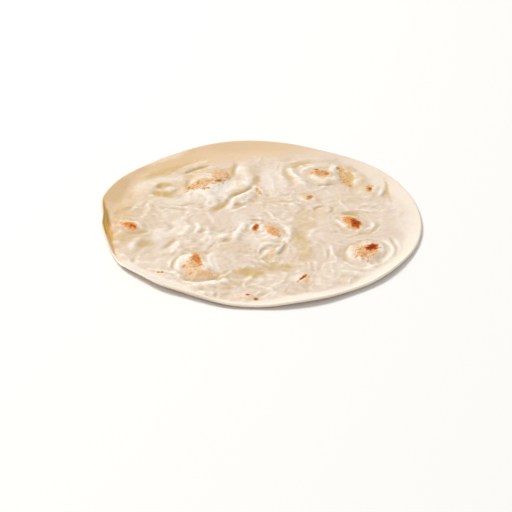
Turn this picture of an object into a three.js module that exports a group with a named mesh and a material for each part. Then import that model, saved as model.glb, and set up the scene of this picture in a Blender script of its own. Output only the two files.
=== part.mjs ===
// A baked flour tortilla: one thin round sheet of dough that lies flat in the middle, with a smooth
// lip that turns up along straight lines round its edge, and blisters, folds and dents on its top.
// Millimetres, +Z up. The origin is the middle of the flat underside. From above, +X is the right,
// +Y the back and -X the left, where the lip stands highest.

import * as THREE from 'three';

// The sheet
const SHEET_RADIUS = 124.3;        // measured along the dough, before the lip turns up
const SHEET_THICKNESS = 2.1;
const EDGE_THICKNESS = 2.0;        // the dough thins a little at the very edge
const EDGE_THINNING = 12;          // width of the band over which it thins
const EDGE_BULGE = 0.5;            // how far the rounded edge stands out, as a share of its thickness
const THINNEST = 0.5;              // the dough that is left under the deepest dent
const THINNEST_EASE = 0.3;         // how softly a dent comes to that

// The lip: the sheet is turned up along straight lines. Direction of each line, in degrees
// anticlockwise from +X, its distance from the middle, the slope beyond it in degrees, and the width
// of the bend
const LIP_LIFTS = [
  { toward: 193, inset: 113.2, slope: 60, bend: 4 },
  { toward: 164, inset: 106.4, slope: 18, bend: 8 },
  { toward: 115, inset: 101, slope: 5, bend: 9 },
  { toward: 94, inset: 105.5, slope: 11.5, bend: 9 },
  { toward: 233, inset: 109.6, slope: 26.5, bend: 6 },
  { toward: 254, inset: 115.8, slope: 28.5, bend: 6 },
  { toward: 287, inset: 112, slope: 23, bend: 8 },
  { toward: 317, inset: 113.2, slope: 20, bend: 8 },
  { toward: 342, inset: 114, slope: 8, bend: 8 },
  { toward: 31, inset: 108, slope: 7.4, bend: 9 },
  { toward: 221, inset: 117.9, slope: 15, bend: 5 },
];

// Blisters on the top: centre, half length and half width, direction of the length in degrees, rise
// of the dome, or depth of a dent where it is below zero, and the share of the half width that is a
// flattish crest
const BLISTERS = [
  { x: -41, y: 47, long: 35, wide: 20, turn: 70, rise: 4.2, crest: 0.3 },
  { x: -52, y: 42, long: 8, wide: 5, turn: 70, rise: 0.8, crest: 0.1 },
  { x: -30, y: 60, long: 11, wide: 7, turn: 70, rise: 0.9, crest: 0.1 },
  { x: -12, y: 28, long: 15, wide: 8, turn: 50, rise: 0.7, crest: 0.5 },
  { x: -73, y: 42, long: 14, wide: 11, turn: 15, rise: -1.0, crest: 0.4 },
  { x: -69, y: 45, long: 7, wide: 5, turn: 20, rise: 1.1, crest: 0.1 },
  { x: 51, y: 64, long: 16, wide: 12, turn: 100, rise: 2.0, crest: 0.25 },
  { x: 88, y: 43, long: 15, wide: 12, turn: 90, rise: 1.3, crest: 0.25 },
  { x: 41, y: 29, long: 10, wide: 8, turn: 75, rise: 1.3, crest: 0.1 },
  { x: 1, y: 40, long: 9, wide: 6, turn: 100, rise: 1.0, crest: 0.1 },
  { x: -97, y: -14, long: 13, wide: 8.5, turn: 135, rise: 1.8, crest: 0.2 },
  { x: -85, y: -41, long: 9, wide: 6, turn: 60, rise: -0.5, crest: 0.2 },
  { x: -3, y: -18, long: 9, wide: 8, turn: 80, rise: 1.4, crest: 0.1 },
  { x: 10, y: -23, long: 14, wide: 10, turn: 122, rise: 1.8, crest: 0.2 },
  { x: 72, y: -12, long: 14, wide: 12, turn: 100, rise: 2.3, crest: 0.2 },
  { x: 72, y: 4, long: 8, wide: 5, turn: 0, rise: -1.0, crest: 0.1 },
  { x: 80, y: -53, long: 18, wide: 14, turn: 60, rise: 2.4, crest: 0.35 },
  { x: -45, y: -70, long: 21, wide: 14, turn: 105, rise: 2.8, crest: 0.35 },
  { x: 11, y: -54, long: 12, wide: 8, turn: 95, rise: 1.5, crest: 0.15 },
  { x: 33, y: -90, long: 9, wide: 8, turn: 50, rise: 1.3, crest: 0.2 },
  { x: -9, y: -112, long: 10, wide: 6, turn: 165, rise: 0.9, crest: 0.1 },
  { x: -27, y: -27, long: 11, wide: 7, turn: 20, rise: 1.0, crest: 0.1 },
  { x: -23, y: -35, long: 6, wide: 4, turn: 10, rise: -0.8, crest: 0.1 },
  { x: 53, y: 12, long: 8, wide: 7, turn: 0, rise: 0.3, crest: 0.3 },
  { x: 33, y: -26, long: 18, wide: 9, turn: 95, rise: -0.6, crest: 0.1 },
  { x: 12, y: -73, long: 20, wide: 8, turn: 0, rise: -0.7, crest: 0.1 },
];

// Folds: a round ridge, or a groove where the rise is below zero, that runs from one point to another
// by way of a third, with its half width
const FOLDS = [
  { from: [-14, 96], by: [-9, 62], to: [-18, 40], wide: 7, rise: 2.1 },
  { from: [-1, 51], by: [-11, 33], to: [-31, 5], wide: 3.5, rise: 0.8 },
  { from: [24, 88], by: [29, 66], to: [38, 42], wide: 4.5, rise: 1.3 },
  { from: [62, 86], by: [61, 68], to: [62, 50], wide: 3.5, rise: 1.4 },
  { from: [66, 80], by: [68, 64], to: [74, 46], wide: 4, rise: -1.6 },
  { from: [78, 78], by: [79, 62], to: [76, 48], wide: 4, rise: 0.6 },
  { from: [-92, -52], by: [-92, -38], to: [-80, -29], wide: 3.5, rise: 0.9 },
  { from: [-77, -14], by: [-74, -27], to: [-77, -42], wide: 6, rise: 0.8 },
  { from: [-59, -8], by: [-55, -22], to: [-59, -33], wide: 3.5, rise: 0.9 },
  { from: [-13, -4], by: [-13, -22], to: [-20, -44], wide: 3.5, rise: 1.4 },
  { from: [-56, -54], by: [-60, -72], to: [-53, -92], wide: 3.5, rise: 0.9 },
  { from: [-56, -93], by: [-38, -97], to: [-14, -84], wide: 3.5, rise: 1.0 },
  { from: [19, -12], by: [23, -26], to: [17, -46], wide: 3.5, rise: 1.0 },
  { from: [95, -30], by: [99, -48], to: [92, -68], wide: 3.5, rise: 0.7 },
];
const FOLD_STEPS = 12;             // straight steps that make up a fold's curve
const FOLD_TAPER = 0.3;            // share of a fold's length over which each end runs out

// Slow swells of the whole top
const SWELL_RISE = 0.35;
const SWELL_LENGTH = 62;
const SWELL_SKEW_X = 0.4;          // how much of y the sideways wave runs along
const SWELL_SKEW_Y = -0.3;         // how much of x the lengthways wave runs along
const SWELL_LEAD = 1;              // radians

// Sines that pull the relief about sideways and lengthways, so that no blister is a true ellipse: how
// much of x and of y each runs along, its length for one radian, and its lead
const KNEAD_PULL = 1;
const KNEAD_SIDEWAYS = [
  { x: 0, y: 1, length: 5.6, lead: 1 },
  { x: 1, y: 1, length: 8.2, lead: 0 },
];
const KNEAD_LENGTHWAYS = [
  { x: 1, y: 0, length: 6.1, lead: 0 },
  { x: 1, y: -1, length: 7.8, lead: 2 },
];

// The smooth lip: distances past a lift's line where the relief starts to fade and where it is gone,
// and the width of the band along the edge in which it fades, which is wider towards one side
const SMOOTH_FROM = -3;
const SMOOTH_TO = 5;
const EDGE_BAND = 8;
const SIDE_BAND = 19;
const SIDE_TOWARD = 8;             // degrees
const SIDE_SPREAD = [0.4, 1];      // cosines of the angle from that side where the band starts and ends

// The triangles: ring number k round the middle has six times k points
const RING_COUNT = 30;
const SIDES = 6;

const DOUGH_COLOUR = 0xe6cdad;
const DOUGH_ROUGHNESS = 0.85;

const radians = THREE.MathUtils.degToRad;
const smoothstep = THREE.MathUtils.smoothstep;
const clamp = THREE.MathUtils.clamp;
const lerp = THREE.MathUtils.lerp;

// How far a place lies beyond a lift's line
function pastLine(lift, x, y) {
  const toward = radians(lift.toward);
  return x * Math.cos(toward) + y * Math.sin(toward) - lift.inset;
}

// A point bent up with what lies beyond a lift's line: round an arc as wide as the bend, then straight
// on at the full slope. Its height stays square to the dough
function turnedUp(lift, [x, y, z]) {
  const toward = radians(lift.toward);
  const slope = radians(lift.slope);
  const past = pastLine(lift, x, y);
  const turn = slope * clamp(past / lift.bend, 0, 1);
  const straight = Math.max(past - lift.bend, 0);
  const radius = lift.bend / slope;
  const reach = Math.min(past, 0) + (radius - z) * Math.sin(turn) + straight * Math.cos(turn);
  const height = radius - (radius - z) * Math.cos(turn) + straight * Math.sin(turn);
  const drawnIn = reach - past;
  return [x + drawnIn * Math.cos(toward), y + drawnIn * Math.sin(toward), height];
}

// A point of the flat sheet after all of the lip's lifts, one after another
function lifted(distance, angle, height) {
  let point = [distance * Math.cos(angle), distance * Math.sin(angle), height];
  for (const lift of LIP_LIFTS) point = turnedUp(lift, point);
  return point;
}

// How far a set of sines pulls a place
function pull(sines, x, y) {
  let total = 0;
  for (const sine of sines) total += Math.sin((sine.x * x + sine.y * y) / sine.length + sine.lead);
  return KNEAD_PULL * total;
}

// Height that one blister gives: flattish on its crest, eased down to its turned ellipse
function blisterHeight(blister, x, y) {
  const turn = radians(blister.turn);
  const along = (x - blister.x) * Math.cos(turn) + (y - blister.y) * Math.sin(turn);
  const across = (y - blister.y) * Math.cos(turn) - (x - blister.x) * Math.sin(turn);
  const share = Math.hypot(along / blister.long, across / blister.wide);
  return blister.rise * (1 - smoothstep(share, blister.crest, 1));
}

// A point of the parabola that runs through a fold's three points
function foldPoint(fold, share) {
  const curve = (start, middle, end) => {
    const control = 2 * middle - (start + end) / 2;
    return (1 - share) ** 2 * start + 2 * share * (1 - share) * control + share ** 2 * end;
  };
  return [curve(fold.from[0], fold.by[0], fold.to[0]), curve(fold.from[1], fold.by[1], fold.to[1])];
}

// Height that one fold gives: a bell across its curve, at the nearest of the curve's straight steps,
// running out at both ends
function foldHeight(fold, x, y) {
  let nearest = Infinity;
  let place = 0;
  for (let step = 0; step < FOLD_STEPS; step++) {
    const [fromX, fromY] = foldPoint(fold, step / FOLD_STEPS);
    const [toX, toY] = foldPoint(fold, (step + 1) / FOLD_STEPS);
    const runX = toX - fromX;
    const runY = toY - fromY;
    const share = clamp(((x - fromX) * runX + (y - fromY) * runY) / (runX ** 2 + runY ** 2), 0, 1);
    const apart = Math.hypot(x - fromX - share * runX, y - fromY - share * runY);
    if (apart >= nearest) continue;
    nearest = apart;
    place = (step + share) / FOLD_STEPS;
  }
  const ends = smoothstep(place, 0, FOLD_TAPER) * (1 - smoothstep(place, 1 - FOLD_TAPER, 1));
  return fold.rise * ends * Math.exp(-((nearest / fold.wide) ** 2));
}

// From 1 where the relief is full to 0 on the smooth lip and at the edge
function roughness(x, y) {
  let rough = 1;
  for (const lift of LIP_LIFTS) rough *= 1 - smoothstep(pastLine(lift, x, y), SMOOTH_FROM, SMOOTH_TO);
  const sideways = smoothstep(Math.cos(Math.atan2(y, x) - radians(SIDE_TOWARD)), ...SIDE_SPREAD);
  const band = lerp(EDGE_BAND, SIDE_BAND, sideways);
  return rough * smoothstep(SHEET_RADIUS - Math.hypot(x, y), 0, band);
}

// All the relief of the top at a point of the flat sheet, no deeper than the thinnest dough allows
function relief(x, y) {
  const wave = 2 * Math.PI / SWELL_LENGTH;
  const sideways = Math.sin(wave * (x + SWELL_SKEW_X * y));
  const lengthways = Math.sin(wave * (y + SWELL_SKEW_Y * x) + SWELL_LEAD);
  let height = SWELL_RISE * sideways * lengthways;
  const across = x + pull(KNEAD_SIDEWAYS, x, y);
  const along = y + pull(KNEAD_LENGTHWAYS, x, y);
  for (const blister of BLISTERS) height += blisterHeight(blister, across, along);
  for (const fold of FOLDS) height += foldHeight(fold, across, along);
  height *= roughness(x, y);
  const lowest = THINNEST - SHEET_THICKNESS;
  return (height + lowest + Math.hypot(height - lowest, THINNEST_EASE)) / 2;
}

// Height of the top over the flat underside
function topHeight(distance, angle) {
  const thinning = smoothstep(distance, SHEET_RADIUS - EDGE_THINNING, SHEET_RADIUS);
  const thickness = lerp(SHEET_THICKNESS, EDGE_THICKNESS, thinning);
  return thickness + relief(distance * Math.cos(angle), distance * Math.sin(angle));
}

// Index of a point in a face's rings, counted round and round from the middle outwards
function ringPoint(ring, place) {
  if (ring === 0) return 0;
  const count = SIDES * ring;
  return 1 + SIDES * ring * (ring - 1) / 2 + (place % count);
}

function tortillaGeometry() {
  const positions = [];
  const triangles = [];
  const edgeCount = SIDES * RING_COUNT;
  const faceCount = 1 + SIDES * RING_COUNT * (RING_COUNT + 1) / 2;

  // The points of the top, then those of the underside, ring by ring
  const addFace = (heightAt) => {
    for (let ring = 0; ring <= RING_COUNT; ring++) {
      const distance = SHEET_RADIUS * ring / RING_COUNT;
      const count = Math.max(1, SIDES * ring);
      for (let place = 0; place < count; place++) {
        const angle = 2 * Math.PI * place / count;
        positions.push(...lifted(distance, angle, heightAt(distance, angle)));
      }
    }
  };
  addFace(topHeight);
  addFace(() => 0);

  // The rounded edge's own line of points, halfway up the thickness
  const edgeRadius = SHEET_RADIUS + EDGE_BULGE * EDGE_THICKNESS;
  for (let place = 0; place < edgeCount; place++) {
    const angle = 2 * Math.PI * place / edgeCount;
    positions.push(...lifted(edgeRadius, angle, EDGE_THICKNESS / 2));
  }

  // Both faces are split alike, the underside turned over
  const addTriangle = (a, b, c) => {
    triangles.push(a, b, c);
    triangles.push(faceCount + a, faceCount + c, faceCount + b);
  };
  for (let ring = 1; ring <= RING_COUNT; ring++) {
    for (let side = 0; side < SIDES; side++) {
      for (let step = 0; step < ring; step++) {
        const outer = side * ring + step;
        const inner = side * (ring - 1) + step;
        addTriangle(ringPoint(ring, outer), ringPoint(ring, outer + 1), ringPoint(ring - 1, inner));
        if (step === ring - 1) continue;
        const next = ringPoint(ring - 1, inner + 1);
        addTriangle(ringPoint(ring - 1, inner), ringPoint(ring, outer + 1), next);
      }
    }
  }

  // Two strips close the edge: underside to bulge, and bulge to top
  for (let place = 0; place < edgeCount; place++) {
    const top = [ringPoint(RING_COUNT, place), ringPoint(RING_COUNT, place + 1)];
    const under = top.map((point) => faceCount + point);
    const middle = [place, (place + 1) % edgeCount].map((point) => 2 * faceCount + point);
    triangles.push(under[0], under[1], middle[1], under[0], middle[1], middle[0]);
    triangles.push(middle[0], middle[1], top[1], middle[0], top[1], top[0]);
  }

  const geometry = new THREE.BufferGeometry();
  geometry.setAttribute('position', new THREE.Float32BufferAttribute(positions, 3));
  geometry.setIndex(triangles);
  geometry.computeVertexNormals();
  return geometry;
}

const dough = new THREE.MeshStandardMaterial({
  color: DOUGH_COLOUR,
  roughness: DOUGH_ROUGHNESS,
  metalness: 0,
});

const tortilla = new THREE.Mesh(tortillaGeometry(), dough);
tortilla.name = 'tortilla';

const group = new THREE.Group();
group.add(tortilla);

export default group;
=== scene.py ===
"""A baked flour tortilla, dressed and lit for the camera.

The dressed surface repeats the solid's form from the same named sizes, on a much finer grid, and adds
the creases, crooked wrinkles and pebbles of the dough. Browning is worked out per point and broken up
in the material. Lengths in the tables are millimetres, in the solid's own frame: +X right, +Y back,
+Z up. Directions are degrees, anticlockwise from +X.
"""

import math
from collections import namedtuple

import bpy
import numpy as np
from bpy.props import FloatProperty, FloatVectorProperty, IntProperty, PointerProperty
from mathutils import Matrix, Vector


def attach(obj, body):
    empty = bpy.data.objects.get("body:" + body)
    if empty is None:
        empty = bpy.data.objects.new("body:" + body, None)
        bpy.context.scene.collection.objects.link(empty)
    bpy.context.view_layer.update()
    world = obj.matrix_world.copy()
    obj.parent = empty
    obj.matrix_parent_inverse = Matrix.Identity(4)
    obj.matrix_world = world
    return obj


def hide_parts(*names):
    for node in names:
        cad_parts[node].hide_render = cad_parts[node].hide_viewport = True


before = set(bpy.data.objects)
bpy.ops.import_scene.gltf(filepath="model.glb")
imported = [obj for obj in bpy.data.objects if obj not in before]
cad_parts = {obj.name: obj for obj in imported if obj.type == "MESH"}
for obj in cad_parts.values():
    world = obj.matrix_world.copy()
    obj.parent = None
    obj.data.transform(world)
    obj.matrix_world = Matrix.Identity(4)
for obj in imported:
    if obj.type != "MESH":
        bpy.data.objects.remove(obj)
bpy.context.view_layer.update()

bl_info = {
    "name": "Flour Tortilla",
    "version": (1, 0, 0),
    "blender": (4, 5, 0),
    "location": "View3D > Sidebar > Tortilla",
    "description": "Bakes a flour tortilla with blisters, browned spots and an upturned lip",
    "category": "Add Mesh",
}

MM = 0.001
NODE = "tortilla"

# The lip: the sheet is turned up along straight lines round its edge. Direction of the line and its
# distance from the middle, the slope beyond it, and the width of the bend
Lift = namedtuple("Lift", "toward inset slope bend")
LIP_LIFTS = [Lift(*row) for row in (
    (193, 113.2, 60, 4),
    (164, 106.4, 18, 8),
    (115, 101, 5, 9),
    (94, 105.5, 11.5, 9),
    (233, 109.6, 26.5, 6),
    (254, 115.8, 28.5, 6),
    (287, 112, 23, 8),
    (317, 113.2, 20, 8),
    (342, 114, 8, 8),
    (31, 108, 7.4, 9),
    (221, 117.9, 15, 5),
)]

# Blisters: centre, half length and half width, direction of the length, rise or, below zero, depth,
# the share of the half width that is a flattish crest, and the height of the ripples round it
Blister = namedtuple("Blister", "x y long wide turn rise crest ripple")
BLISTERS = [Blister(*row) for row in (
    (-41, 47, 35, 20, 70, 4.2, 0.3, 0),
    (-52, 42, 8, 5, 70, 0.8, 0.1, 0),
    (-30, 60, 11, 7, 70, 0.9, 0.1, 0),
    (-12, 28, 15, 8, 50, 0.7, 0.5, 0),
    (-73, 42, 14, 11, 15, -1.0, 0.4, 0),
    (-69, 45, 7, 5, 20, 1.1, 0.1, 0),
    (51, 64, 16, 12, 100, 2.0, 0.25, 0.05),
    (88, 43, 15, 12, 90, 1.3, 0.25, 0.12),
    (41, 29, 10, 8, 75, 1.3, 0.1, 0.1),
    (1, 40, 9, 6, 100, 1.0, 0.1, 0),
    (-97, -14, 13, 8.5, 135, 1.8, 0.2, 0.2),
    (-85, -41, 9, 6, 60, -0.5, 0.2, 0),
    (-3, -18, 9, 8, 80, 1.4, 0.1, 0.3),
    (10, -23, 14, 10, 122, 1.8, 0.2, 0.2),
    (72, -12, 14, 12, 100, 2.3, 0.2, 0.25),
    (72, 4, 8, 5, 0, -1.0, 0.1, 0),
    (80, -53, 18, 14, 60, 2.4, 0.35, 0.3),
    (-45, -70, 21, 14, 105, 2.8, 0.35, 0.2),
    (11, -54, 12, 8, 95, 1.5, 0.15, 0.4),
    (33, -90, 9, 8, 50, 1.3, 0.2, 0.1),
    (-9, -112, 10, 6, 165, 0.9, 0.1, 0),
    (-27, -27, 11, 7, 20, 1.0, 0.1, 0),
    (-23, -35, 6, 4, 10, -0.8, 0.1, 0),
    (53, 12, 8, 7, 0, 0.3, 0.3, 0),
    (33, -26, 18, 9, 95, -0.6, 0.1, 0),
    (12, -73, 20, 8, 0, -0.7, 0.1, 0),
)]

# Folds: a ridge, or below zero a groove, that runs from one point to another by way of a third
Fold = namedtuple("Fold", "x0 y0 x1 y1 x2 y2 wide rise")
FOLDS = [Fold(*row) for row in (
    (-14, 96, -9, 62, -18, 40, 7, 2.1),
    (-1, 51, -11, 33, -31, 5, 3.5, 0.8),
    (24, 88, 29, 66, 38, 42, 4.5, 1.3),
    (62, 86, 61, 68, 62, 50, 3.5, 1.4),
    (66, 80, 68, 64, 74, 46, 4, -1.6),
    (78, 78, 79, 62, 76, 48, 4, 0.6),
    (-92, -52, -92, -38, -80, -29, 3.5, 0.9),
    (-77, -14, -74, -27, -77, -42, 6, 0.8),
    (-59, -8, -55, -22, -59, -33, 3.5, 0.9),
    (-13, -4, -13, -22, -20, -44, 3.5, 1.4),
    (-56, -54, -60, -72, -53, -92, 3.5, 0.9),
    (-56, -93, -38, -97, -14, -84, 3.5, 1.0),
    (19, -12, 23, -26, 17, -46, 3.5, 1.0),
    (95, -30, 99, -48, 92, -68, 3.5, 0.7),
)]

# The straight steps that stand for a fold's curve, and the share of it that runs out at each end
FOLD_STEPS = 12
FOLD_TAPER = 0.3

# Slow swells of the whole sheet
SWELL_RISE = 0.35
SWELL_LENGTH = 62
SWELL_SKEW_X = 0.4
SWELL_SKEW_Y = -0.3
SWELL_LEAD = 1

# Distances past a lift's line over which the relief fades
SMOOTH_FROM = -3
SMOOTH_TO = 5

# The band along the edge in which the relief fades, wider on one side: its widths, the direction of
# that side, and cosines of the angle from it where the widening starts and is full
EDGE_BAND = 8
SIDE_BAND = 19
SIDE_TOWARD = 8
SIDE_SPREAD = (0.4, 1)

# The thinnest dough that a dent may leave, and how softly the dent stops there
THINNEST = 0.5
THINNEST_EASE = 0.3

# Sines that pull the relief about sideways and lengthways, so that no blister is a true ellipse: how
# much of x and of y each runs along, its length for one radian, and its lead
Sine = namedtuple("Sine", "x y length lead")
KNEAD_PULL = 1.0
KNEAD_SIDEWAYS = [Sine(0, 1, 5.6, 1), Sine(1, 1, 8.2, 0)]
KNEAD_LENGTHWAYS = [Sine(1, 0, 6.1, 0), Sine(1, -1, 7.8, 2)]

# Ripples round the blisters, too fine for the solid
RIPPLE_PITCH = 4.2
RIPPLE_FADE = 6

# Creases too fine for the solid, in the same form as the folds
CREASES = [Fold(*row) for row in (
    (-5, 54, -9, 41, -19, 33, 1.7, -1.3),
    (-8, 40, -19, 33.5, -28, 20, 1.8, -1.2),
    (-20, 33, -28, 20, -37, 7, 2.6, -0.9),
    (3, 68, -1, 58, -8, 48, 2.6, -0.5),
    (-24, 8, -15, 10, -5, 18, 2, 0.35),
    (-20, 26, -16, 20, -17, 13, 3, -0.6),
    (-22, 30, -20, 20, -25, 11, 1.8, 0.3),
    (-22, 11, -15, 14, -9, 19, 1.6, -0.5),
    (-58, 68, -51, 76, -40, 83, 2, -1.3),
    (-64, 74, -54, 85, -40, 90, 3, 0.8),
    (-56, 62, -57, 50, -54, 34, 2, -1.1),
    (-19, 92, -18, 76, -22, 60, 2.2, -1.3),
    (-86, 36, -74, 29, -61, 34, 2.2, 0.3),
    (-80, 54, -78, 49, -79, 44, 2, -1.1),
    (37, 62, 39, 76, 49, 86, 2.6, 0.6),
    (32, 70, 34, 85, 48, 93, 2.4, -0.3),
    (44, 50, 53, 49, 63, 49, 1.8, 0.4),
    (45, 53, 53, 52, 62, 52, 1.4, -0.6),
    (22, 82, 24, 62, 28, 42, 3, -1.0),
    (9, 74, 12, 56, 14, 38, 2.2, 0.4),
    (20, 92, 19, 74, 18, 54, 2.4, 0.3),
    (100, 62, 103, 45, 98, 27, 2, -1.5),
    (96, 60, 99, 44, 94, 29, 2.2, 0.9),
    (76, 13, 86, 16, 97, 11, 1.8, -0.4),
    (75, 18, 86, 21, 98, 17, 2.2, 0.4),
    (44, 9, 47, 16, 54, 17, 1.2, -0.8),
    (54, 17, 59, 13, 56, 6, 1.2, -0.8),
    (-104, -24, -92, -25, -80, -21, 2.2, -1.0),
    (-58, -32, -65, -40, -74, -49, 2, -0.9),
    (-54, -36, -61, -45, -70, -55, 4, 0.6),
    (-72, -6, -66, -14, -70, -22, 2.2, -0.9),
    (-50, -8, -47, -20, -50, -32, 2.2, 0.8),
    (-42, -14, -38, -26, -42, -38, 2.4, 0.8),
    (-8, -5, 0, -4, 8, -9, 1.8, -0.9),
    (-8, -10, -9, -18, -6, -26, 1.6, -0.8),
    (2, -10, 2, -18, 1, -26, 1.8, 0.9),
    (19, -34, 19, -47, 13, -59, 1.6, -1.1),
    (1, -63, 5, -55, 9, -48, 2, 1.0),
    (0, -56, 3, -47, 10, -42, 1.8, -0.9),
    (-53, -54, -57, -68, -55, -82, 2.6, 1.0),
    (-57, -54, -60, -68, -59, -82, 1.7, -1.1),
    (-35.5, -54, -33.5, -65, -31.5, -76, 2.4, 1.2),
    (-54, -87, -42, -91, -20, -82, 1.8, -1.1),
    (-30, -86, -22, -82, -18, -76, 2, 0.8),
    (-31, -76, -30, -83, -38, -88, 1.6, -0.9),
    (-37, -74, -36, -79, -42, -83, 1.6, -0.6),
    (61, -3, 62, -14, 72, -23, 2.2, 1.1),
    (84, -4, 86, -14, 78, -22, 2.2, 0.7),
    (88, -2, 90, -14, 82, -26, 1.8, -0.5),
    (74, -40, 67, -53, 72, -69, 2.4, 0.9),
    (69, -40, 63, -54, 67, -72, 1.8, -0.5),
    (73, -72, 83, -73, 91, -60, 2.2, 0.6),
    (92, -34, 94, -48, 88, -64, 1.7, -0.9),
    (103, -32, 105, -46, 99, -62, 2, 0.8),
    (101, -40, 96, -58, 88, -76, 2, 0.7),
    (100, -30, 102, -46, 96, -64, 1.6, -0.8),
    (28, -93, 31, -89, 35, -84, 1.2, -1.2),
    (49, -59, 48, -49, 49, -39, 1.3, 0.4),
    (52, -61, 51, -52, 52, -43, 1.2, -0.5),
    (55, -59, 54, -49, 55, -39, 1.3, 0.45),
    (61, -64, 60, -54, 61, -45, 1.3, -0.5),
    (55, -83, 53, -74, 54, -65, 1.4, 0.4),
    (40, -80, 41, -71, 40, -63, 1.3, -0.4),
)]

# Browned spots: centre, half length, half width, direction, depth of browning, how broken up, and hue
# from 0, tan, to 1, ruddy
Spot = namedtuple("Spot", "x y long wide turn depth broken ruddy", defaults=(0, 0))
SPOTS = [Spot(*row) for row in (
    (-50, 43, 9, 7, 60, 0.42, 0.65, 0.1),
    (-41, 47, 9, 6, 40, 0.4, 0.6, 0.3),
    (-33, 53, 9, 6, 60, 0.38, 0.65, 0.1),
    (-30, 67, 13, 7.5, 75, 0.36, 0.6, 0.1),
    (-25, 65, 8, 3, 84, 0.46, 0.5, 0.05),
    (-55, 43, 5, 1.8, 100, 0.9, 0.5, 0.05),
    (-42, 37, 4, 2.6, 20, 0.5, 0.7, 0.5),
    (-32, 52, 2.6, 2.2, 30, 0.8, 0.4, 0.15),
    (-48, 50, 3, 1.5, 70, 0.7, 0.4, 0.15),
    (-25, 69, 4, 1.4, 100, 0.62, 0.4, 0.15),
    (52.5, 70, 7.5, 6, 150, 0.55, 0.6, 0.5),
    (49, 76.5, 2.6, 1.6, 20, 0.95, 0.3, 0.35),
    (56.5, 68, 2.6, 1.8, 60, 0.85, 0.3, 0.3),
    (53, 66.5, 3, 1.6, 0, 0.6, 0.4, 0.25),
    (65.5, 79, 2.8, 1.8, 60, 0.7, 0.4, 0.1),
    (67, 68, 2.6, 1.4, 100, 0.6, 0.4, 0.2),
    (69.5, 57, 2.6, 1.5, 100, 0.6, 0.4, 0.2),
    (73.5, 49, 2.8, 1.8, 100, 0.75, 0.4, 0.2),
    (70, 65, 16, 3.4, 98, 0.34, 1.0, 0),
    (88.5, 46, 5.5, 2.8, 95, 0.5, 0.7, 0.3),
    (89.5, 44.5, 3, 1.5, 95, 0.9, 0.3, 0.4),
    (41.5, 30, 4.6, 2, 75, 0.84, 0.3, 0.05),
    (47, 26, 3, 1.8, 75, 0.2, 0.3, 0.5),
    (0.5, 40, 6, 2.2, 112, 0.4, 0.5, 0.3),
    (-98.5, -15, 8.5, 4, 130, 0.62, 0.3, 1),
    (-96.5, -17, 5, 1.6, 128, 0.85, 0.5, 1),
    (-3, -17.5, 6.4, 1.9, 88, 0.85, 0.2, 0.8),
    (10, -21, 9.5, 5.4, 125, 0.4, 0.3, 0.8),
    (10, -20.5, 2.6, 2.4, 0, 0.55, 0.3, 0.8),
    (74, -12.5, 7, 4.8, 72, 0.9, 0.3, 1),
    (69, -8, 5.5, 3.8, 70, 0.58, 0.5, 0.9),
    (69, -13, 4, 3, 70, 0.4, 0.4, 0.8),
    (72, -7, 4.5, 4, 60, 0.55, 0.4, 0.9),
    (82.5, -46.5, 6.5, 3, 55, 1.15, 0.7, 1),
    (79, -53.5, 11.5, 7.5, 65, 0.42, 0.55, 0.4),
    (-44.5, -66, 8.5, 3.4, 105, 0.68, 0.3, 0.65),
    (-46, -71, 10, 5, 85, 0.36, 0.4, 0.3),
    (-47, -75, 13, 8, 85, 0.2, 0.3, 0.2),
    (-40, -64, 8, 2.4, 95, 0.2, 0.3, 0.15),
    (-53, -75, 2, 1, 80, 0.55, 0.3, 0.1),
    (-49, -84, 1.6, 1, 60, 0.45, 0.3, 0.1),
    (-38, -82, 8, 4, 25, 0.27, 0.2, 0.3),
    (10.5, -51, 6, 2.4, 95, 0.22, 0.2, 0.5),
    (31, -89, 5, 1.1, 52, 1.2, 0.2, 0.1),
    (33, -89, 6, 4.6, 70, 0.26, 0.3, 0.3),
    (-9, -113, 7.5, 3.5, 165, 0.2, 0.3, 0.4),
    (-8, -111, 1.9, 1.5, 100, 1.0, 0.2, 0.1),
    (-3, -116, 1.9, 1.5, 20, 1.0, 0.2, 0.1),
    (36, -69, 5, 3, 30, 0.25, 1.0, 0.4),
    (-71.5, -79.5, 1.2, 1, 10, 1.0, 0.1, 0),
    (-68.5, -79.5, 1.2, 1, 10, 1.0, 0.1, 0),
)]

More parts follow.
